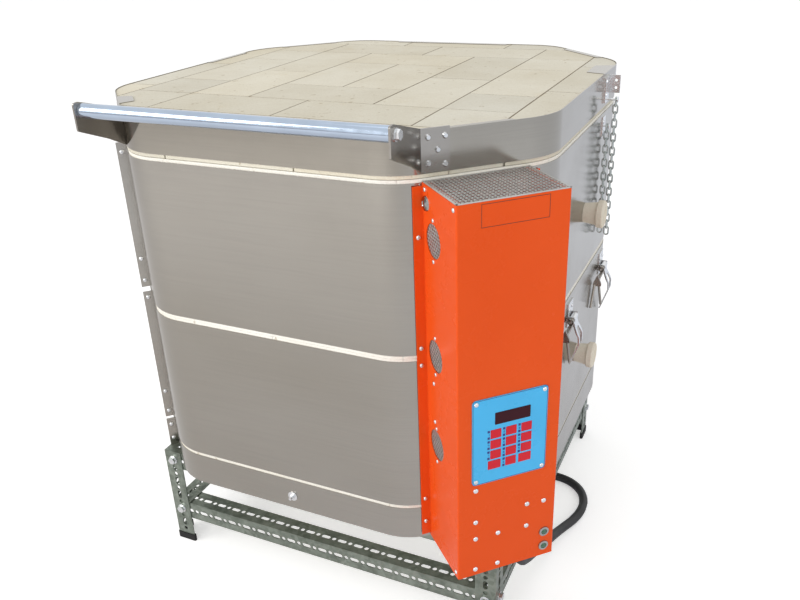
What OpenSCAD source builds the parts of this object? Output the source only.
// Bead annealing kiln: a sectional firebrick kiln with a hinged brick lid, a polished sheet jacket,
// an enamelled control box on one cut corner and a bolted stand of slotted angle.
// Millimetres, +X to the right of the handle side, +Y to the hinge side, +Z up from the floor.

/* [Kiln body] */
// Width of the body across its flat sides
body_w = 800; // [780:1:820]
// Length that each cut corner takes from a side
corner_cut = 171; // [165:1:178]
// Radius of the bends in the sheet jacket
bend_r = 100; // [90:1:110]
// Thickness of the firebrick wall
wall_t = 76; // [64:1:82]
// Thickness of the floor slab
slab_t = 63.5; // [55:0.5:76]
// Height of one brick ring
ring_h = 277; // [265:1:290]
// Thickness of the lid
lid_t = 63.5; // [58:0.5:76]
// Thickness of the sheet metal on the body
sheet_t = 1; // [0.8:0.1:1.5]
// Brick left bare at the top of the upper ring
top_bare = 5.5; // [4:0.5:7]
// Brick left bare above and below the middle seam
seam_bare = 5; // [3:0.5:6]
// Brick left bare above and below the floor seam
floor_bare = 3; // [2:0.5:4]
// Width of the face of a firebrick in the lid
brick_w = 114.3; // [110:0.1:116]

/* [Chamber] */
// Height of the groove that holds a heating element
groove_h = 15; // [13:0.5:18]
// Depth of the groove
groove_d = 15; // [13:0.5:18]
// Height of the lower groove above the foot of its ring
groove_z1 = 62; // [50:1:75]
// Height of the upper groove above the foot of its ring
groove_z2 = 190; // [170:1:220]
// Thickness of a heating element
element_d = 10; // [7:0.5:12]
// Height of the peepholes above the foot of their ring
peep_z = 122; // [105:1:140]
// Radius of the peepholes
peep_r = 15.5; // [12:0.5:18]
// Length of a peephole plug inside the wall
plug_in = 62; // [40:1:64]
// Length of a peephole plug outside the wall
plug_out = 35; // [28:1:42]
// Radius of the head of a peephole plug
plug_head_r = 24; // [22:0.5:27]

/* [Lid fittings] */
// Radius of the handle tube
tube_r = 11; // [9:0.5:12]
// Distance from the front of the lid to the middle of the handle tube
tube_out = 53; // [44:1:65]
// Height of the middle of the handle tube above the lid
tube_up = 16; // [10:1:22]
// Thickness of the handle brackets
bracket_t = 3; // [2:0.5:4]
// Distance of the bracket arms inwards from the middle of the cut corners
arm_set = 60.5; // [55:0.5:66]
// Radius of the hinge rod
rod_r = 5; // [4:0.5:6]
// Length of the hinge rod
rod_len = 470; // [460:1:560]
// Distance from the back of the body to the middle of the hinge rod
rod_out = 14; // [12.5:0.5:17]

/* [Lid chain] */
// Thickness of the chain wire
wire_d = 3; // [2.6:0.1:3.2]
// Length of a chain link
link_len = 19; // [18:0.5:20]
// Width of a chain link
link_w = 10.8; // [10.8:0.1:11.6]
// Links that hang from the lid
lid_links = 20; // [16:1:21]
// Links that hang from the body
body_links = 16; // [12:1:17]

/* [Latches] */
// Place of the near latch along the right side
latch_y1 = -72; // [-90:1:-60]
// Place of the far latch along the right side
latch_y2 = 176; // [165:1:182]
// Width of the latch plate
latch_w = 34; // [30:1:40]
// Height of the latch plate
latch_h = 44; // [40:1:50]
// Radius of the latch pin
latch_pin_r = 2.5; // [2:0.1:3]
// Length of the latch lever below its pin
lever_len = 94; // [84:1:104]

/* [Control box] */
// Width of the control box
box_w = 166; // [160:1:176]
// Depth of the control box
box_d = 114; // [106:1:120]
// Width of the flange on each side of the box
flange_w = 15; // [12:1:18]
// Thickness of the box sheet
box_t = 1.4; // [1:0.1:2]
// Width of the controller panel
panel_w = 121; // [114:1:126]
// Height of the controller panel
panel_h = 146; // [140:1:152]
// Height of the middle of the panel above the foot of the box
panel_z = 247; // [240:1:255]
// Diameter of the side vents
vent_d = 50; // [44:1:54]

/* [Stand] */
// Height of the stand
stand_h = 218; // [205:1:250]
// Width of the stand
stand_w = 690; // [670:1:710]
// Distance of the middle of the stand to the right of the middle of the kiln
stand_shift = 18; // [0:1:20]
// Width of the flanges of the slotted angle
angle_w = 38; // [34:1:42]
// Thickness of the slotted angle
angle_t = 2; // [1.5:0.1:3]
// Hole spaces along a rail of the stand
hole_spaces = 38; // [34:2:42]
// Diameter of the round holes in the slotted angle
hole_d = 8.5; // [7:0.1:9]
// Height of the rubber feet
foot_h = 14; // [10:0.5:18]

/* [Power cord] */
// Diameter of the power cord
cord_d = 18; // [16:0.5:18]

/* [Hidden] */
fit = 0.3;                            // gap of a seated piece
slit = 0.5;                           // gap between neighbouring bricks
half = body_w / 2;
diag = body_w - corner_cut;           // sum of the two distances on a cut corner
face_d = diag / sqrt(2);              // distance from the middle to a cut corner
base_z = stand_h;
low_z = base_z + slab_t;              // seam under the lower ring
mid_z = low_z + ring_h;               // seam between the rings
top_z = mid_z + ring_h;               // seam under the lid
lid_z = top_z + lid_t;                // top of the lid
rise = 6;                             // lid brick left bare under its band
bend_n = 8;
box_z0 = base_z + 2;
box_z1 = top_z - 4.5;
box_h = box_z1 - box_z0;
box_r = 3;
screw_r = 4.2;
screw_h = 2.4;
bolt_af = 13;
bolt_h = 5.5;

// Hinge line of the lid and pins of the chain
hinge_y = half + rod_out;
hinge_z = top_z;
knuckle_r = rod_r + 4;
run = 0.08;                           // running clearance of pins and rods
chain_pin_r = 2;
anchor_t = 1.6;                       // plate that holds the pin on the body
body_chain_x = half + anchor_t + link_w / 2 + fit;
lid_chain_x = body_chain_x + link_w + 1;
lid_pin = [lid_chain_x, 112, lid_z - 45];
body_pin = [body_chain_x, 110, top_z - 28.5];
link_pitch = link_len - 2 * wire_d - 0.4;

// Handle
arm_x = diag / 2 - arm_set;
tube_y = -half - tube_out;
tube_z = lid_z + tube_up;
arm_front = tube_y - tube_r - 4;

// Latches
latch_z = mid_z - 17;
latch_pin_x = half + 8;
latch_pin_z = latch_z - 30;

// Stand
half_stand = stand_w / 2;
stack = angle_t + fit;                // step between crossing rails
rail_in = angle_t + 0.1;              // rails lie inside the legs
bolt_drop = angle_w / 2;
hole_pitch = (stand_w - angle_w) / hole_spaces;
low_holes = 7;                        // hole spaces between the two rows of bolts
low_rail_z = base_z - low_holes * hole_pitch;

// The whole model stands with the middle of its outline on the origin
x_max = diag / 2 + (box_w / 2 + box_d) / sqrt(2) - box_r * (sqrt(2) - 1);
x_mid = (x_max - half) / 2;
y_mid = (hinge_y + knuckle_r + arm_front) / 2;

function unit(v) = v / norm(v);

// Points of the arc that rounds corner b between a and c
function corner_arc(a, b, c, r, n) =
    let (u = unit(a - b), v = unit(c - b), part = acos(u * v) / 2,
         mid = b + unit(u + v) * r / sin(part), from = b + u * r / tan(part),
         start = atan2(from[1] - mid[1], from[0] - mid[0]),
         turn = (180 - 2 * part) * (u[0] * v[1] - u[1] * v[0] < 0 ? 1 : -1))
    [for (i = [0:n]) mid + r * [cos(start + turn * i / n), sin(start + turn * i / n)]];

// Outline p with its corners rounded; r is one radius or a list, and 0 keeps a corner sharp
function rounded(p, r, n = 5) =
    [for (i = [0:len(p) - 1])
        let (q = is_list(r) ? r[i] : r, a = p[(i + len(p) - 1) % len(p)], c = p[(i + 1) % len(p)])
        each (q > 0 ? corner_arc(a, p[i], c, q, n) : [p[i]])];

// Eight-sided outline of the body, moved outwards by d
function outline(d = 0) =
    let (h = half + d, c = diag + d * sqrt(2) - h)
    rounded([[h, -c], [h, c], [c, h], [-c, h], [-h, c], [-h, -c], [-c, -h], [c, -h]],
            bend_r + d, bend_n);

// Everything is drawn around the middle of the kiln and then moved onto the origin
module place() translate([-x_mid, -y_mid, 0]) children();

module ring(outer, inner, z0, z1)
    translate([0, 0, z0]) difference() {
        linear_extrude(z1 - z0) polygon(outline(outer));
        translate([0, 0, -1]) linear_extrude(z1 - z0 + 2) polygon(outline(inner));
    }

// Puts a piece on a cut corner, drawn with its back on y = 0 and its front towards -Y
module on_corner(turn = 45) rotate([0, 0, turn]) translate([0, -face_d, 0]) children();

// Puts a piece on the right side, drawn with +Z outwards and +Y up
module on_right(y, z) translate([half, y, z]) rotate([90, 0, 90]) children();

// Screw head on the XY plane, facing +Z
module screw(r = screw_r, h = screw_h) cylinder(h = h, r1 = r, r2 = r * 0.62, $fn = 20);

// Hexagon bolt head with a washer, facing +Z
module bolt_head() {
    cylinder(h = 1.5, r = bolt_af * 0.68, $fn = 24);
    translate([0, 0, 1.5]) cylinder(h = bolt_h, r = bolt_af / sqrt(3), $fn = 6);
}

// Brick work

module bricks_of_ring(z0) {
    spots = [z0 + groove_z1, z0 + groove_z2];
    difference() {
        ring(-sheet_t - 0.2, -wall_t, z0, z0 + ring_h - slit);
        for (i = [0:11]) rotate([0, 0, 30 * i])
            translate([half / 2, -slit / 2, z0 - 1]) cube([half, slit, ring_h + 2]);
        for (z = spots) translate([0, 0, z])
            linear_extrude(groove_h) polygon(outline(groove_d - wall_t));
        translate([half - wall_t - 9, 0, z0 + peep_z]) rotate([0, 90, 0])
            cylinder(h = wall_t + 20, r = peep_r, $fn = 48);
        for (z = spots) terminal_rods(z + groove_h / 2, terminal_r + 0.1, 12);
        on_corner() translate([0, 1, z0 + ring_h / 2]) rotate([-90, 0, 0])
            translate([0, 0, -3]) cylinder(h = wall_t + 12, r = probe_r + 0.1, $fn = 32);
    }
}

terminal_r = 6;
terminal_u = 22;
probe_r = 4;

// Rods through the wall behind the control box
module terminal_rods(z, r, out)
    for (u = [-terminal_u, terminal_u]) on_corner() translate([u, -out, z]) rotate([-90, 0, 0])
        cylinder(h = out + wall_t - groove_d + 4, r = r, $fn = 32);

module floor_slab() place() color("#e2d8c3") translate([0, 0, base_z])
    linear_extrude(slab_t - slit) polygon(outline(-sheet_t - 0.2));

module lower_ring_bricks() place() color("#e2d8c3") bricks_of_ring(low_z);

module upper_ring_bricks() place() color("#e2d8c3") bricks_of_ring(mid_z);

// Joints between the bricks of the lid: [x from, y from, x to, y to] in half bricks
lid_joints = [
    [-3, -3, 3, -3], [-3, 3, 3, 3], [-3, -2, 3, -2], [-3, 2, 3, 2],
    [-3, -3.5, -3, 3.5], [3, -3.5, 3, 3.5], [-2, -3, -2, 3], [2, -3, 2, 3],
    [-3, -1, -2, -1], [-3, 1, -2, 1], [2, -1, 3, -1], [2, 1, 3, 1],
    [0, -3, 0, -2], [0, 2, 0, 3], [-1, -2, -1, 2], [1, -2, 1, 2],
    [-2, 0, -1, 0], [1, 0, 2, 0], [-1, -1, 1, -1], [-1, 1, 1, 1], [0, -1, 0, 1],
    [-3.5, -1.6, -3, -1.6], [-3.5, 0.4, -3, 0.4], [3, -0.6, 3.5, -0.6], [3, 1.4, 3.5, 1.4],
    [-1.4, -3.5, -1.4, -3], [0.6, -3.5, 0.6, -3], [-0.8, 3, -0.8, 3.5], [1.2, 3, 1.2, 3.5]];

module lid_bricks() place() color("#e0d6c1") difference() {
    translate([0, 0, top_z]) linear_extrude(lid_t) polygon(outline(-sheet_t - 0.2));
    for (j = lid_joints)
        translate([j[0] * brick_w - 0.6, j[1] * brick_w - 0.6, lid_z - 1])
            cube([(j[2] - j[0]) * brick_w + 1.2, (j[3] - j[1]) * brick_w + 1.2, 2]);
}

// Sheet metal round the bricks

module base_band() place() color("#a39d91") ring(0, -sheet_t, base_z, low_z - floor_bare);

module jacket_of_ring(z0, z1, hole_z)
    difference() {
        ring(0, -sheet_t, z0, z1);
        translate([half - 5, 0, hole_z]) rotate([0, 90, 0]) cylinder(h = 10, r = peep_r, $fn = 48);
        for (z = [groove_z1, groove_z2])
            terminal_rods(hole_z - peep_z + z + groove_h / 2, terminal_r + 0.1, 12);
        on_corner() translate([0, -3, hole_z - peep_z + ring_h / 2]) rotate([-90, 0, 0])
            cylinder(h = 12, r = probe_r + 0.1, $fn = 32);
    }

module lower_jacket() place() color("#a39d91")
    jacket_of_ring(low_z + floor_bare, mid_z - seam_bare, low_z + peep_z);

module upper_jacket() place() color("#a39d91")
    jacket_of_ring(mid_z + seam_bare, top_z - top_bare, mid_z + peep_z);

// Tab folded over the edge of the lid, drawn on the edge line from one end to the other
module tab(len, reach)
    translate([-len / 2, 0, lid_z + 0.1]) linear_extrude(sheet_t)
        polygon(rounded([[0, 0], [len, 0], [len - reach / 3, reach], [reach / 3, reach]],
                        [0, 0, 3, 3]));

module lid_band() place() color("#a8a49b") {
    ring(0, -sheet_t, top_z + rise, lid_z + 0.1 + sheet_t);
    for (t = [[45, 118, 9], [-45, 62, 25], [135, 130, 12], [-135, 130, 8]])
        on_corner(t[0]) tab(t[1], t[2]);
    rotate([0, 0, -90]) translate([-111, -half, 0]) tab(133, 10);
    rotate([0, 0, 90]) translate([140, -half, 0]) tab(90, 34);
    rotate([0, 0, 180]) translate([0, -half, 0]) tab(260, 12);
}

// Jacket clamp: the bent ends of the sheets stand out on the front left corner
clamp_out = 16;
clamp_t = 2.4;

module tie_strip() place() color("#b7b2a8") {
    for (span = [[base_z, low_z - floor_bare], [low_z + floor_bare, mid_z - seam_bare],
                 [mid_z + seam_bare, top_z - top_bare]])
        on_corner(-45) {
            translate([-clamp_t / 2, -clamp_out, span[0]])
                cube([clamp_t, clamp_out, span[1] - span[0]]);
            translate([-26, -1.2, span[0] + 2]) cube([26, 1.2, span[1] - span[0] - 4]);
        }
}

// Heights of the screws in the jacket clamp
clamp_screws = [top_z - 22, mid_z + 60, mid_z + 18, mid_z - 16, low_z + 60, low_z + 16,
                low_z - 16, base_z + 16];

module jacket_screws() place() color("#c9ccd0") {
    for (z = clamp_screws) on_corner(-45)
        translate([clamp_t / 2, -clamp_out / 2, z]) rotate([0, 90, 0]) screw();
    for (y = [latch_y1, latch_y2], s = [-10, 10])
        on_right(y, latch_z - 12) translate([s, 0, latch_t]) screw(3.4, 2);
    for (x = hinge_spots, z = [top_z - 22, top_z - 42])
        translate([x, half + leaf_t, z]) rotate([-90, 0, 0]) screw();
    for (z = [-9, 9]) on_right(body_pin[1] - 7, body_pin[2] + z) translate([0, 0, anchor_t])
        screw(3.4, 2);
}

// Earth bolt on the base band, with its washer
module base_bolt() place() color("#b9c6cb")
    translate([6, -half, base_z + 26]) rotate([90, 0, 0]) {
        cylinder(h = 1.2, r = 9, $fn = 40);
        translate([0, 0, 1.2]) cylinder(h = 4, r = 5, $fn = 6);
        cylinder(h = 10, r = 2.6, $fn = 24);
    }

// Heating

// Element that lies in a groove all round the chamber
module element_at(z) translate([0, 0, z + fit]) difference() {
    linear_extrude(element_d) polygon(outline(groove_d - wall_t - 1));
    translate([0, 0, -1]) linear_extrude(element_d + 2)
        polygon(outline(groove_d - wall_t - 1 - element_d));
    on_corner() translate([-1.5, 0, -1]) cube([3, wall_t + 20, element_d + 2]);
}

module lower_elements() place() color("#5a5350")
    for (z = [groove_z1, groove_z2]) element_at(low_z + z);

module upper_elements() place() color("#5a5350")
    for (z = [groove_z1, groove_z2]) element_at(mid_z + z);

// Ceramic bushes that lead the element ends into the control box
module element_terminals() place() color("#efe9dc")
    for (z0 = [low_z, mid_z], g = [groove_z1, groove_z2], u = [-terminal_u, terminal_u])
        on_corner() translate([u, 0, z0 + g + groove_h / 2]) rotate([90, 0, 0]) {
            translate([0, 0, groove_d - wall_t + 4]) cylinder(h = wall_t - groove_d, r = terminal_r,
                                                             $fn = 32);
            translate([0, 0, 4]) cylinder(h = 4, r = terminal_r + 2, $fn = 32);
            translate([0, 0, 8]) cylinder(h = 14, r = 2, $fn = 20);
        }

// Temperature probe through the upper ring, with its connection block in the box
module thermocouple() place() color("#d8cfbd")
    on_corner() translate([0, 0, mid_z + ring_h / 2]) rotate([90, 0, 0]) {
        translate([0, 0, -wall_t - 24]) cylinder(h = wall_t + 28, r = probe_r, $fn = 32);
        translate([-14, -9, 4]) cube([28, 18, 14]);
    }

// Profile of a peephole plug from its inner end to its head
module peephole_plug(z0)
    translate([half, 0, z0 + peep_z]) rotate([0, 90, 0]) rotate_extrude($fn = 64)
        polygon([[0, -plug_in], [peep_r - 3, -plug_in], [peep_r - 1.5, -plug_in + 3],
                 [peep_r - 0.4, 0.2], [peep_r + 1.5, 0.2], [peep_r + 4.5, plug_out - 13],
                 [plug_head_r - 1.5, plug_out - 12], [plug_head_r, plug_out - 10],
                 [plug_head_r, plug_out - 2], [plug_head_r - 2, plug_out], [10, plug_out],
                 [9, plug_out - 1.5], [0, plug_out - 1.5]]);

module upper_peephole_plug() place() color("#e6dcc6") peephole_plug(mid_z);

module lower_peephole_plug() place() color("#e6dcc6") peephole_plug(low_z);

// Handle

// Side view of a bracket: the plate, and the arm that rises to the tube
module bracket_profile()
    polygon(rounded([[0, lid_z + 5], [0, lid_z - 55], [arm_back, lid_z - 55],
                     [arm_back - 34, lid_z - 37], [arm_front, lid_z - 12],
                     [arm_front, tube_z + tube_r + 2], [arm_front + 10, tube_z + tube_r + 3],
                     [arm_back, lid_z + 5]], [0, 0, 2, 6, 3, 3, 2, 2], 4));

arm_back = arm_x - diag;              // where the arm leaves the cut corner
plate_u = 42;                         // inner end of the plate along the corner, from its middle

// Bent bracket of the handle: a plate on the cut corner and an arm to the front
module handle_bracket() intersection() {
    linear_extrude(lid_z + 100) polygon([
        [diag / 2 - plate_u / sqrt(2), -diag / 2 - plate_u / sqrt(2)],
        [arm_x, arm_back], [arm_x, arm_front - 5], [arm_x + bracket_t, arm_front - 5],
        [arm_x + bracket_t, arm_x + bracket_t - diag - bracket_t * sqrt(2)],
        [diag / 2 + (bracket_t - plate_u) / sqrt(2), -diag / 2 - (plate_u + bracket_t) / sqrt(2)]]);
    translate([arm_x - 60, 0, 0]) rotate([90, 0, 90]) linear_extrude(140) bracket_profile();
}

module right_handle_bracket() place() color("#77736c") handle_bracket();

module left_handle_bracket() place() color("#77736c") mirror([1, 0, 0]) handle_bracket();

module handle_tube() place() color("#d5dae2")
    translate([-arm_x + fit, tube_y, tube_z]) rotate([0, 90, 0]) difference() {
        cylinder(h = 2 * (arm_x - fit), r = tube_r, $fn = 64);
        translate([0, 0, -1]) cylinder(h = 2 * arm_x, r = tube_r - 2, $fn = 64);
    }

// Screws of the bracket plates and the bolts at the ends of the tube
plate_screws = [[-49, -7], [-74, -7], [-60, -25], [-49, -46], [-74, -43]];

module handle_fasteners() place() color("#c6c9cc")
    for (side = [0, 1]) mirror([side, 0, 0]) {
        for (p = plate_screws) on_corner()
            translate([p[0], -bracket_t, lid_z + p[1]]) rotate([90, 0, 0]) screw(4.6, 3);
        translate([arm_x + bracket_t, tube_y, tube_z]) rotate([0, 90, 0]) bolt_head();
        if (side == 0) for (z = [9, 32]) on_right(lid_pin[1] - 9, lid_pin[2] + z)
            translate([0, 0, leaf_t]) screw(3.4, 2);
    }

// Lid hinge

leaf_t = 3;
leaf_w = 46;
hinge_spots = [-190, 190];

// Knuckle round the hinge rod, with the leaf that is screwed to the sheet
module hinge_leaf(x, up) difference() {
    union() {
        translate([x - leaf_w / 2, hinge_y, hinge_z]) rotate([0, 90, 0])
            cylinder(h = leaf_w, r = knuckle_r, $fn = 48);
        translate([x - leaf_w / 2, half, up > 0 ? hinge_z + rise + 1 : hinge_z - 56])
            cube([leaf_w, leaf_t, up > 0 ? 50 : 55 - top_bare]);
        translate([x - leaf_w / 2, half, up > 0 ? hinge_z + rise + 1 : hinge_z - top_bare - 12])
            cube([leaf_w, rod_out, up > 0 ? 6 : 11]);
    }
    translate([x - leaf_w, hinge_y, hinge_z]) rotate([0, 90, 0])
        cylinder(h = 2 * leaf_w, r = rod_r + run, $fn = 48);
    translate([x - leaf_w, half - 20, hinge_z - (up > 0 ? 20 : 0)])
        cube([2 * leaf_w, rod_out - knuckle_r + 20.2, 20 + (up > 0 ? rise + 0.5 : 20)]);
}

module lid_hinge_leaves() place() color("#8d8a84")
    for (x = hinge_spots) {
        side = x > 0 ? 1 : -1;
        hinge_leaf(x - side * (leaf_w + 1), 1);
        hinge_screw_row(x - side * (leaf_w + 1));
    }

// Screw heads that are riveted to the lid leaf
module hinge_screw_row(x) for (z = [18, 44])
    translate([x, half + leaf_t, hinge_z + z]) rotate([-90, 0, 0]) screw();

module body_hinge_leaves() place() color("#8d8a84") for (x = hinge_spots) hinge_leaf(x, -1);

module hinge_rod() place() color("#c4c6c8")
    translate([-rod_len / 2, hinge_y, hinge_z]) rotate([0, 90, 0]) {
        cylinder(h = rod_len, r = rod_r, $fn = 48);
        translate([0, 0, -3]) cylinder(h = 3, r = rod_r + 2.5, $fn = 32);
        translate([0, 0, rod_len]) cylinder(h = 3, r = rod_r + 2.5, $fn = 32);
    }

// Lid chain

// Chain link that stands in the YZ plane, or in the XZ plane with turn = 90
module chain_link(turn) {
    bow = (link_w - wire_d) / 2;
    leg = link_len - link_w;
    rotate([0, 0, turn]) {
        for (flip = [0, 180]) rotate([flip, 0, 0]) translate([0, 0, leg / 2]) rotate([90, 0, 90])
            rotate_extrude(angle = 180, $fn = 28) translate([bow, 0]) circle(d = wire_d, $fn = 16);
        for (s = [-bow, bow]) translate([0, s, -leg / 2])
            cylinder(h = leg, d = wire_d, $fn = 16);
    }
}

// Strand of links that hangs from a pin
module strand(pin, count)
    translate([pin[0], pin[1], pin[2] - link_len / 2 + wire_d + chain_pin_r + 0.2])
        for (i = [0:count - 1]) translate([0, 0, -i * link_pitch]) chain_link(i % 2 * 90);

// Plate on the side of the kiln with a headed pin for the first link
module pin_plate(pin, w, h, lift, t) {
    tip = pin[0] + wire_d / 2 + 0.6;
    translate([half, pin[1] - w / 2, pin[2] - h / 2 + lift]) cube([t, w, h]);
    translate([half + t / 2, pin[1], pin[2]]) rotate([0, 90, 0])
        cylinder(h = tip - half - t / 2 + 1, r = chain_pin_r, $fn = 32);
    translate([tip, pin[1], pin[2]]) rotate([0, 90, 0]) cylinder(h = 2, r = 5, $fn = 32);
}

module chain_bracket() place() color("#8f908e") {
    pin_plate(lid_pin, 30, 44, 17, leaf_t);
    translate([half, lid_pin[1] + 17, lid_pin[2] + 8]) difference() {
        union() {
            translate([0, -3, 0]) cube([leaf_t, 3, 31]);
            cube([21, leaf_t, 31]);
        }
        for (z = [9, 22]) translate([14, -1, z]) rotate([-90, 0, 0])
            cylinder(h = 6, r = 2.6, $fn = 24);
    }
}

module chain_anchor() place() color("#6d675c") pin_plate(body_pin, 22, 34, 0, anchor_t);

module lid_chain() place() color("#c3c7c6") strand(lid_pin, lid_links);

module body_chain() place() color("#c3c7c6") strand(body_pin, body_links);

// Draw latches on the right side

latch_t = 2;
lever_w = 30;
lever_t = 3;
ear_gap = 12;

// Plate with two ears that hold the pin
module latch_base(y) difference() {
    union() {
        translate([half, y - latch_w / 2, latch_z - latch_h]) cube([latch_t, latch_w, latch_h]);
        for (s = [-1, 1]) translate([half, y + s * (ear_gap + 1) - 1, 0]) rotate([90, 0, 90])
            translate([0, latch_pin_z - 6, 0]) linear_extrude(latch_pin_x - half + 4.5)
                square([2, 12]);
    }
}

module latch_pin(y) translate([latch_pin_x, y - ear_gap - 13, latch_pin_z]) rotate([-90, 0, 0])
    cylinder(h = 2 * ear_gap + 17, r = latch_pin_r, $fn = 32);

module latch_bases() place() color("#b9b9b6")
    for (y = [latch_y1, latch_y2]) {
        latch_base(y);
        latch_pin(y);
    }

// Lever: a bent strip with a long slot, narrowing to its tip, on a barrel round the pin
module latch_lever(y) translate([latch_pin_x, y, latch_pin_z]) difference() {
    union() {
        rotate([-90, 0, 0]) translate([0, 0, -ear_gap + 0.5])
            cylinder(h = 2 * ear_gap - 1, r = latch_pin_r + 3, $fn = 40);
        intersection() {
            translate([0, lever_w, 0]) rotate([90, 0, 0]) linear_extrude(2 * lever_w)
                polygon(lever_side());
            rotate([90, 0, 90]) translate([0, 0, -20]) linear_extrude(60) difference() {
                polygon(rounded([[-ear_gap + 0.5, 0], [-ear_gap + 0.5, -10],
                                 [-lever_w / 2, -24], [-5, -lever_len], [5, -lever_len],
                                 [lever_w / 2, -24], [ear_gap - 0.5, -10], [ear_gap - 0.5, 0]],
                                [0, 2, 8, 4.5, 4.5, 8, 2, 0]));
                polygon(rounded([[-6, -16], [-lever_w / 2 + 6, -30], [0, -lever_len + 16],
                                 [lever_w / 2 - 6, -30], [6, -16]], [2, 3, 3, 3, 2]));
            }
        }
    }
    rotate([-90, 0, 0]) translate([0, 0, -lever_w])
        cylinder(h = 2 * lever_w, r = latch_pin_r + run, $fn = 40);
}

// Side view of the lever: it swells away from the wall and comes back to it at its tip
function lever_side() =
    let (p = [[3, 2], [6, -12], [15, -32], [15.5, -46], [-1.5, -lever_len - 1]])
    rounded(concat(p, [for (i = [len(p) - 1:-1:0]) p[i] - [lever_t + (i == 0 ? 2 : 0), 0]]),
            [0, 6, 8, 8, 0, 0, 8, 8, 6, 0], 4);

module front_latch_lever() place() color("#c9cbc8") latch_lever(latch_y1);

module rear_latch_lever() place() color("#c9cbc8") latch_lever(latch_y2);

// Claw: a barrel on the near end of the pin, with a bar that carries the forked hook
claw_dy = 62;                         // from the middle of the latch to the middle of the hook
claw_t = 4;
claw_in = ear_gap + 2.4;              // where the barrel begins

module latch_claw(y) translate([latch_pin_x, y, latch_pin_z]) {
    difference() {
        union() {
            translate([0, -claw_in, 0]) rotate([90, 0, 0])
                cylinder(h = 8, r = latch_pin_r + 3, $fn = 40);
            translate([-1.5, 0, 0]) rotate([90, 0, 90]) linear_extrude(5.5) polygon([
                [-claw_in, -3], [-claw_in, -8], [-claw_dy, -12], [-claw_dy, -6]]);
        }
        rotate([90, 0, 0]) cylinder(h = 60, r = latch_pin_r + run, $fn = 40);
    }
    translate([0, -claw_dy + claw_t / 2, 0]) rotate([90, 0, 0]) linear_extrude(claw_t)
        polygon(rounded([[1, 5], [9, -12], [9.5, -17], [5, -19.5], [1, -18], [-3, -19.5],
                         [-7, -17], [-6, -12]], [1, 6, 2, 2, 2, 2, 2, 6]));
    for (p = [[[-3.5, 0, -16], [-4.5, -20, -58]], [[5, 0, -16], [9, 9, -60]]])
        translate([0, -claw_dy, 0]) rod_between(p[0], p[1], 2.4);
}

// Round rod with its end middles on the points a and b
module rod_between(a, b, r) {
    d = b - a;
    translate(a) rotate([0, acos(d[2] / norm(d)), atan2(d[1], d[0])])
        cylinder(h = norm(d), r = r, $fn = 24);
}

module front_latch_claw() place() color("#4a4038") latch_claw(latch_y1);

module rear_latch_claw() place() color("#4a4038") latch_claw(latch_y2);

// Control box

// Folded sheet of the box seen from above: side, front, side
function hat(u, d, r) =
    rounded([[u, 0], [u, -d], [-u, -d], [-u, 0]], [0, r, r, 0], 6);

vent_y = -37;
vent_z = [box_z1 - 74, box_z1 - 253, box_z1 - 408];

module control_box() place() color("#e4521f") difference() {
    on_corner() box_sheet();
    translate([gland_x, gland_y, box_z0 - 1]) cylinder(h = 5, r = gland_r, $fn = 48);
}

module box_sheet() difference() {
    union() {
        translate([0, 0, box_z0]) linear_extrude(box_h) difference() {
            polygon(hat(box_w / 2, box_d, box_r));
            translate([0, 1]) polygon(hat(box_w / 2 - box_t, box_d - box_t + 1, box_r - box_t));
        }
        for (s = [-1, 1]) translate([s * (box_w / 2 + flange_w / 2 - box_t / 2) -
                                     (flange_w + box_t) / 2, -box_t - fit, box_z0 + 5])
            cube([flange_w + box_t, box_t, box_h - 10]);
        translate([-box_w / 2 + 0.5, -box_d + 0.5, box_z0]) cube([box_w - 1, box_d - 3, box_t]);
        for (s = [0, 1]) mirror([s, 0, 0]) translate([-box_w / 2 + 0.5, -box_d + 2, box_z1 - box_t])
            cube([9, box_d - 4, box_t]);
    }
    for (z = vent_z) translate([-box_w, vent_y, z]) rotate([0, 90, 0])
        cylinder(h = 2 * box_w, d = vent_d, $fn = 48);
    translate([-panel_w / 2 + 12, -box_d - 5, box_z0 + panel_z - panel_h / 2 + 12])
        cube([panel_w - 24, 10, panel_h - 24]);
    for (z = lamp_z) translate([lamp_u, -box_d + 5, z]) rotate([90, 0, 0])
        cylinder(h = 10, r = lamp_r, $fn = 32);
    translate([-box_w / 2 - 5, -plug_d, plug_z]) rotate([0, 90, 0])
        cylinder(h = 10, r = 8, $fn = 32);
}

lamp_u = 65;
lamp_r = 6.5;
lamp_z = [box_z0 + 48, box_z0 + 20];
plug_z = box_z1 - 27;
plug_d = 13;                          // from the back of the box to the middle of the hole plug
gland_r = cord_d / 2 + 4;
gland_u = 66.3;                       // middle of the gland across the box
gland_d = 32.4;                       // and in front of the back of the box
gland_x = (gland_u + face_d + gland_d) / sqrt(2);
gland_y = (gland_u - face_d - gland_d) / sqrt(2);

module box_back_plate() place() color("#b9bcc0") on_corner() difference() {
    translate([-box_w / 2 + 4, -fit - 1.2, box_z0 + 8]) cube([box_w - 8, 1.2, box_h - 16]);
    for (z0 = [low_z, mid_z], g = [groove_z1, groove_z2], u = [-terminal_u, terminal_u])
        translate([u, 5, z0 + g + groove_h / 2]) rotate([90, 0, 0])
            cylinder(h = 10, r = terminal_r + 0.2, $fn = 32);
    translate([0, 5, mid_z + ring_h / 2]) rotate([90, 0, 0])
        cylinder(h = 10, r = probe_r + 0.2, $fn = 32);
}

mesh_t = 1.2;
mesh_u = 9;
mesh_v = 7;

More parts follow.
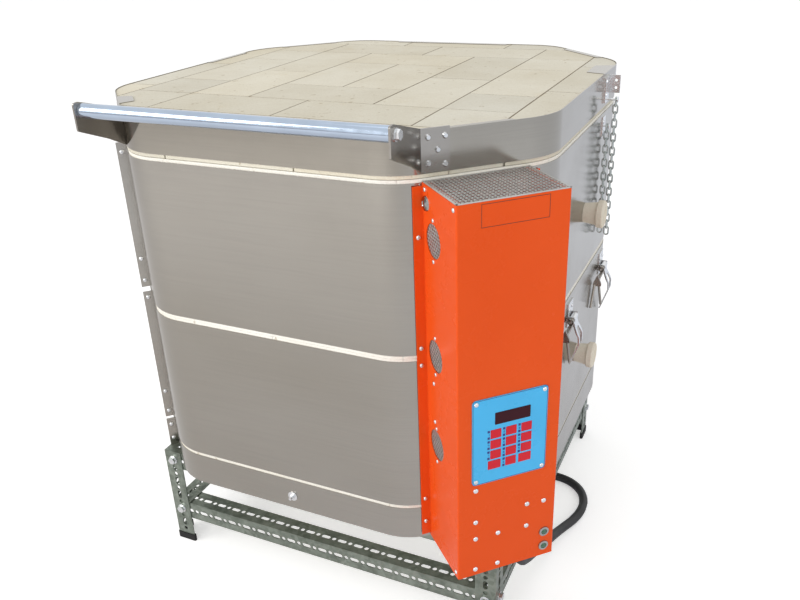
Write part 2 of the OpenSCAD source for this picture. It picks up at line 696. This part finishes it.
// Expanded sheet over the open top of the box
module box_top_mesh() place() color("#8c8a85") on_corner() difference() {
    translate([0, 0, box_z1 + 0.1]) linear_extrude(mesh_t)
        polygon(hat(box_w / 2 - 0.5, box_d - 0.5, box_r));
    for (i = [0:floor((box_d - 18) / mesh_v)], j = [0:floor((box_w - 24) / mesh_u)])
        translate([-box_w / 2 + 12 + (j + i % 2 / 2) * mesh_u, -9 - i * mesh_v, box_z1 - 1])
            scale([1.5, 1, 1]) cylinder(h = 4, r = 2.2, $fn = 4);
}

// Round screens inside the vent holes
module vent_screens() place() color("#a9a59d") on_corner()
    for (z = vent_z, s = [0, 1]) mirror([s, 0, 0])
        translate([-box_w / 2 + box_t + 0.1, vent_y, z]) rotate([0, 90, 0]) difference() {
            cylinder(h = 0.8, d = vent_d + 12, $fn = 48);
            for (i = [-3:3], j = [-3:3]) if (norm([i + j % 2 / 2, j]) < 3.2)
                translate([(i + j % 2 / 2) * 6.6, j * 6.2, -1]) cylinder(h = 3, r = 2.4, $fn = 4);
        }

module vent_rivets() place() color("#c9c4bc") on_corner()
    for (z = vent_z, s = [0, 1], t = [-1, 1]) mirror([s, 0, 0])
        translate([-box_w / 2, vent_y, z + t * (vent_d / 2 + 5)]) rotate([0, -90, 0])
            screw(3, 1.6);

module controller_panel() place() color("#4ab3e8") on_corner()
    translate([0, -box_d, box_z0 + panel_z]) rotate([90, 0, 0]) linear_extrude(panel_t)
        polygon(rounded([[-panel_w / 2, -panel_h / 2], [panel_w / 2, -panel_h / 2],
                         [panel_w / 2, panel_h / 2], [-panel_w / 2, panel_h / 2]], 6));

panel_t = 1.6;
display_w = 58;
display_h = 26;
display_at = [4, 40];                 // middle of the display from the middle of the panel
key_w = 20;
key_h = 15;
key_step = [26.6, -18.2];
key_from = [-25, 14];                 // middle of the first key from the middle of the panel

module controller_display() place() color("#5a0f1c") on_corner()
    translate([display_at[0], -box_d - panel_t, box_z0 + panel_z + display_at[1]])
        rotate([90, 0, 0]) linear_extrude(0.8) polygon(rounded(
            [[-display_w / 2, -display_h / 2], [display_w / 2, -display_h / 2],
             [display_w / 2, display_h / 2], [-display_w / 2, display_h / 2]], 1.5));

module keypad_keys() place() color("#c8202f") on_corner()
    for (i = [0:2], j = [0:3]) translate([key_from[0] + i * key_step[0] - key_w / 2,
                                          -box_d - panel_t - 0.5,
                                          box_z0 + panel_z + key_from[1] + j * key_step[1] - key_h / 2])
        cube([key_w, 0.5, key_h]);

// Screws on the front of the box: [across, height above the foot of the box]
front_screws = [[-54, 163], [33, 112], [62, 110], [-54, 104], [-16, 72], [33, 70], [-54, 72],
                [-16, 12], [-54, 12]];

module box_screws() place() color("#cfd2d4") on_corner() {
    for (p = front_screws) translate([p[0], -box_d, box_z0 + p[1]]) rotate([90, 0, 0]) screw();
    for (s = [-1, 1], t = [-1, 1])
        translate([s * (panel_w / 2 - 6), -box_d - panel_t, box_z0 + panel_z + t * (panel_h / 2 - 6)])
            rotate([90, 0, 0]) screw(3.6, 2);
    for (side = [0, 1], p = [[-30, box_z1 - 302], [-32, box_z1 - 368], [-10, box_z1 - 8],
                             [-box_d + 8, box_z1 - 8], [-box_d + 8, box_z0 + 10]])
        mirror([side, 0, 0]) translate([-box_w / 2, p[0], p[1]]) rotate([0, -90, 0]) screw(3.4, 2);
}

flange_screw_z = [box_z1 - 79, box_z1 - 255, box_z1 - 284, box_z0 + 78, box_z0 + 32];

module flange_screws() place() color("#cfd2d4") on_corner()
    for (s = [-1, 1], z = flange_screw_z)
        translate([s * (box_w / 2 + flange_w / 2), -box_t - fit, z]) rotate([90, 0, 0]) screw(3.8, 2.2);

module pilot_lamps() place() color("#c9ccd0") on_corner()
    for (z = lamp_z) translate([lamp_u, -box_d, z]) rotate([90, 0, 0]) rotate_extrude($fn = 48)
        polygon([[lamp_r - 1.5, -14], [lamp_r - 0.3, -14], [lamp_r - 0.3, 0], [lamp_r + 2.2, 0],
                 [lamp_r + 1.8, 2], [lamp_r - 0.5, 3], [lamp_r - 1.5, 2.5]]);

module pilot_lenses() place() color("#1e5a3c") on_corner()
    for (z = lamp_z) translate([lamp_u, -box_d, z]) rotate([90, 0, 0]) rotate_extrude($fn = 48)
        polygon([[0, -12], [lamp_r - 1.7, -12], [lamp_r - 1.7, 2], [3.4, 3], [0, 3.4]]);

module hole_plug() place() color("#c9ccd0") on_corner()
    translate([-box_w / 2, -plug_d, plug_z]) rotate([0, -90, 0]) rotate_extrude($fn = 40)
        polygon([[0, -6], [7.8, -6], [7.8, 0], [11, 0], [10, 2.5], [5, 4], [4, 3], [0, 3]]);

// Circuit board behind the panel, on four posts
module controller_board() place() color("#2f6a3f") on_corner()
    translate([0, -box_d + box_t, box_z0 + panel_z]) {
        translate([-panel_w / 2 + 4, 12, -panel_h / 2 + 4]) cube([panel_w - 8, 1.6, panel_h - 8]);
        for (s = [-1, 1], t = [-1, 1])
            translate([s * (panel_w / 2 - 8), 0.1, t * (panel_h / 2 - 8)]) rotate([-90, 0, 0])
                cylinder(h = 12, r = 2.5, $fn = 20);
        translate([-30, 13, -20]) cube([22, 14, 40]);
    }

// Contactors for the elements, on the back plate
module contactors() place() color("#3a3a3c") on_corner()
    for (s = [-1, 1]) translate([s * 38 - 24, -51.6, box_z0 + 150]) difference() {
        cube([48, 50, 78]);
        for (z = [-1, 66]) translate([-1, -1, z]) cube([50, 16, 13]);
    }

// Block where the cord's wires end
module terminal_block() place() color("#d9d4c8") on_corner()
    translate([-18, -31.6, box_z0 + 18]) difference() {
        cube([76, 30, 30]);
        for (i = [0:2]) translate([4 + i * 24, -1, -1]) cube([20, 20, 32]);
    }

// Power cord

gland_exit = 40;                      // length of the gland below the box

module cord_gland() place() color("#1f1f21")
    translate([gland_x, gland_y, box_z0 - gland_exit]) rotate_extrude($fn = 40)
        polygon([[cord_d / 2 + 0.2, 0], [cord_d / 2 + 2, 0], [cord_d / 2 + 4.5, 22],
                 [cord_d / 2 + 6, 23], [cord_d / 2 + 6, 31], [cord_d / 2 + 7.5, 32],
                 [cord_d / 2 + 7.5, gland_exit - 0.1], [gland_r - 0.3, gland_exit - 0.1],
                 [gland_r - 0.3, gland_exit + 6], [cord_d / 2 + 0.2, gland_exit + 6]]);

// Route of the cord from inside its gland to the plug
cord_points = [
    [358, -268, 205], [358, -268, 172], [358, -261, 141], [358, -243, 116], [359, -218, 99],
    [360, -188, 84], [362, -156, 69], [364, -122, 54], [368, -86, 39.5], [373, -50, 27],
    [381, -14, 17], [391, 20, 11], [398, 54, 9], [397, 88, 9], [384, 119, 9],
    [360, 141, 9], [329, 151, 9], [297, 147.5, 9], [269, 131, 9], [250, 104, 9],
    [243, 72, 9], [243, 36, 9], [240, 0, 9], [231, -34, 9], [213, -64, 9],
    [186, -87, 9], [152, -98, 9], [116, -98, 9], [81, -87, 9], [51, -66, 9],
    [29, -37, 9], [19, -1, 9], [20, 37, 12], [32, 73, 17], [54, 105, 22],
    [81, 131, 24], [110, 157, 24]];

// The route moves with the gland, so that the cord still ends in it
cord_shift = [gland_x - x_mid, gland_y - y_mid, 0] - [cord_points[0][0], cord_points[0][1], 0];
cord_route = [for (p = cord_points) p + cord_shift];

cord_sides = 10;

function along(p) = [for (i = [0:len(p) - 1])
    unit(p[min(i + 1, len(p) - 1)] - p[max(i - 1, 0)])];

// Normals carried along the route without twist
function normals(t, n, i = 0) =
    let (m = unit(n - (n * t[i]) * t[i])) i == len(t) - 1 ? [m] : concat([m], normals(t, m, i + 1));

module tube_along(p, r, sides) {
    t = along(p);
    n = normals(t, [1, 0, 0]);
    rings = [for (i = [0:len(p) - 1], k = [0:sides - 1])
        p[i] + r * (cos(360 * k / sides) * n[i] + sin(360 * k / sides) * cross(t[i], n[i]))];
    last = (len(p) - 1) * sides;
    polyhedron(rings, concat(
        [[for (k = [0:sides - 1]) k]],
        [for (i = [0:len(p) - 2], k = [0:sides - 1])
            let (a = i * sides + k, b = i * sides + (k + 1) % sides) each
                [[a, a + sides, b + sides], [a, b + sides, b]]],
        [[for (k = [sides - 1:-1:0]) last + k]]), convexity = 10);
}

module power_cord() color("#1c1c1e") tube_along(cord_route, cord_d / 2, cord_sides);

// Plug on the end of the cord, lying on the floor
plug_r = 24;

module cord_plug() color("#232325")
    translate(cord_route[len(cord_route) - 1]) rotate([0, 0, 42]) rotate([0, 90, 0]) {
        rotate_extrude($fn = 48) polygon([[0, 0.6], [cord_d / 2 + 2, 0.6], [cord_d / 2 + 4, 14],
            [plug_r - 3, 24], [plug_r, 30], [plug_r, 62], [plug_r - 2, 64], [0, 64]]);
        for (s = [-1, 1]) translate([-8, s * 9 - 1, 63.9]) cube([9, 2, 22]);
        translate([11, 0, 63.9]) cylinder(h = 24, r = 3.5, $fn = 20);
    }

// Stand of slotted angle

// Flat bar with a row of holes; every second hole is a slot along the bar
slot_half = 5;

module slotted_bar(len, from)
    linear_extrude(angle_t) difference() {
        square([len, angle_w]);
        for (i = [0:ceil(len / hole_pitch)]) {
            at = from + i * hole_pitch;
            if (at > 12 && at < len - 12) translate([at, angle_w / 2])
                if (i % 2 == 0) circle(d = hole_d, $fn = 20);
                else {
                    for (s = [-1, 1]) translate([s * slot_half, 0]) circle(d = hole_d, $fn = 20);
                    square([2 * slot_half, hole_d], center = true);
                }
        }
    }

// Angle along +X: one flange on the floor plane, the other standing on y = 0
module slotted_angle(len, from) {
    slotted_bar(len, from);
    translate([0, angle_t, 0]) rotate([90, 0, 0]) slotted_bar(len, from);
}

// Leg with its corner on the Z axis and its flanges towards +X and +Y
module leg() translate([0, 0, base_z]) rotate([0, 90, 0])
    slotted_angle(base_z - foot_h + 2, bolt_drop);

module stand_corner(sx, sy) place() translate([stand_shift + sx * half_stand, sy * half_stand, 0])
    mirror([sx > 0 ? 1 : 0, 0, 0]) mirror([0, sy > 0 ? 1 : 0, 0]) children();

module front_left_leg() color("#9aa096") stand_corner(-1, -1) leg();

module front_right_leg() color("#9aa096") stand_corner(1, -1) leg();

module rear_left_leg() color("#9aa096") stand_corner(-1, 1) leg();

module rear_right_leg() color("#9aa096") stand_corner(1, 1) leg();

// Four rails at one height: the side rails lie on the front and back rails
module rails(z) {
    run_x = stand_w - 2 * (rail_in + stack);
    run_y = stand_w - 2 * rail_in;
    for (s = [0, 1]) translate([stand_shift, 0, z - stack]) mirror([0, s, 0])
        translate([-run_x / 2, -half_stand + rail_in, 0]) mirror([0, 0, 1])
            slotted_angle(run_x, bolt_drop - rail_in - stack);
    for (s = [0, 1]) translate([stand_shift, 0, z]) mirror([s, 0, 0])
        translate([-half_stand + rail_in, run_y / 2, 0]) rotate([0, 0, -90]) mirror([0, 0, 1])
            slotted_angle(run_y, bolt_drop - rail_in);
}

module upper_rails() place() color("#9aa096") rails(base_z);

module lower_rails() place() color("#9aa096") rails(low_rail_z);

// Rubber cap on the foot of a leg
module foot() difference() {
    translate([-2, -2, 0]) linear_extrude(foot_h) polygon(rounded(
        [[0, 0], [angle_w + 4, 0], [angle_w + 4, angle_t + 5], [angle_t + 5, angle_t + 5],
         [angle_t + 5, angle_w + 4], [0, angle_w + 4]], [3, 2, 2, 2, 2, 3], 3));
    translate([-0.1, -0.1, foot_h - 2 - fit]) cube([angle_w + 0.2, angle_t + 0.2, 10]);
    translate([-0.1, -0.1, foot_h - 2 - fit]) cube([angle_t + 0.2, angle_w + 0.2, 10]);
}

module rubber_feet() color("#161616")
    for (sx = [-1, 1], sy = [-1, 1]) stand_corner(sx, sy) foot();

// Hexagon bolts through the legs into the rails
module stand_bolts() color("#b8bfc2")
    for (sx = [-1, 1], sy = [-1, 1], z = [base_z, low_rail_z]) stand_corner(sx, sy) {
        translate([bolt_drop, 0, z - bolt_drop]) rotate([90, 0, 0]) bolt_head();
        translate([0, bolt_drop, z - bolt_drop]) rotate([0, -90, 0]) bolt_head();
    }

floor_slab();
base_band();
base_bolt();
lower_ring_bricks();
lower_jacket();
upper_ring_bricks();
upper_jacket();
lower_elements();
upper_elements();
element_terminals();
thermocouple();
tie_strip();
jacket_screws();
control_box();
box_back_plate();
box_top_mesh();
vent_screens();
vent_rivets();
controller_panel();
controller_display();
keypad_keys();
box_screws();
flange_screws();
pilot_lamps();
pilot_lenses();
hole_plug();
controller_board();
contactors();
terminal_block();
upper_peephole_plug();
lower_peephole_plug();
latch_bases();
front_latch_lever();
rear_latch_lever();
front_latch_claw();
rear_latch_claw();
cord_gland();
power_cord();
cord_plug();
front_left_leg();
front_right_leg();
rear_left_leg();
rear_right_leg();
upper_rails();
lower_rails();
rubber_feet();
stand_bolts();
lid_bricks();
lid_band();
left_handle_bracket();
right_handle_bracket();
handle_tube();
handle_fasteners();
lid_hinge_leaves();
body_hinge_leaves();
hinge_rod();
chain_bracket();
chain_anchor();
lid_chain();
body_chain();
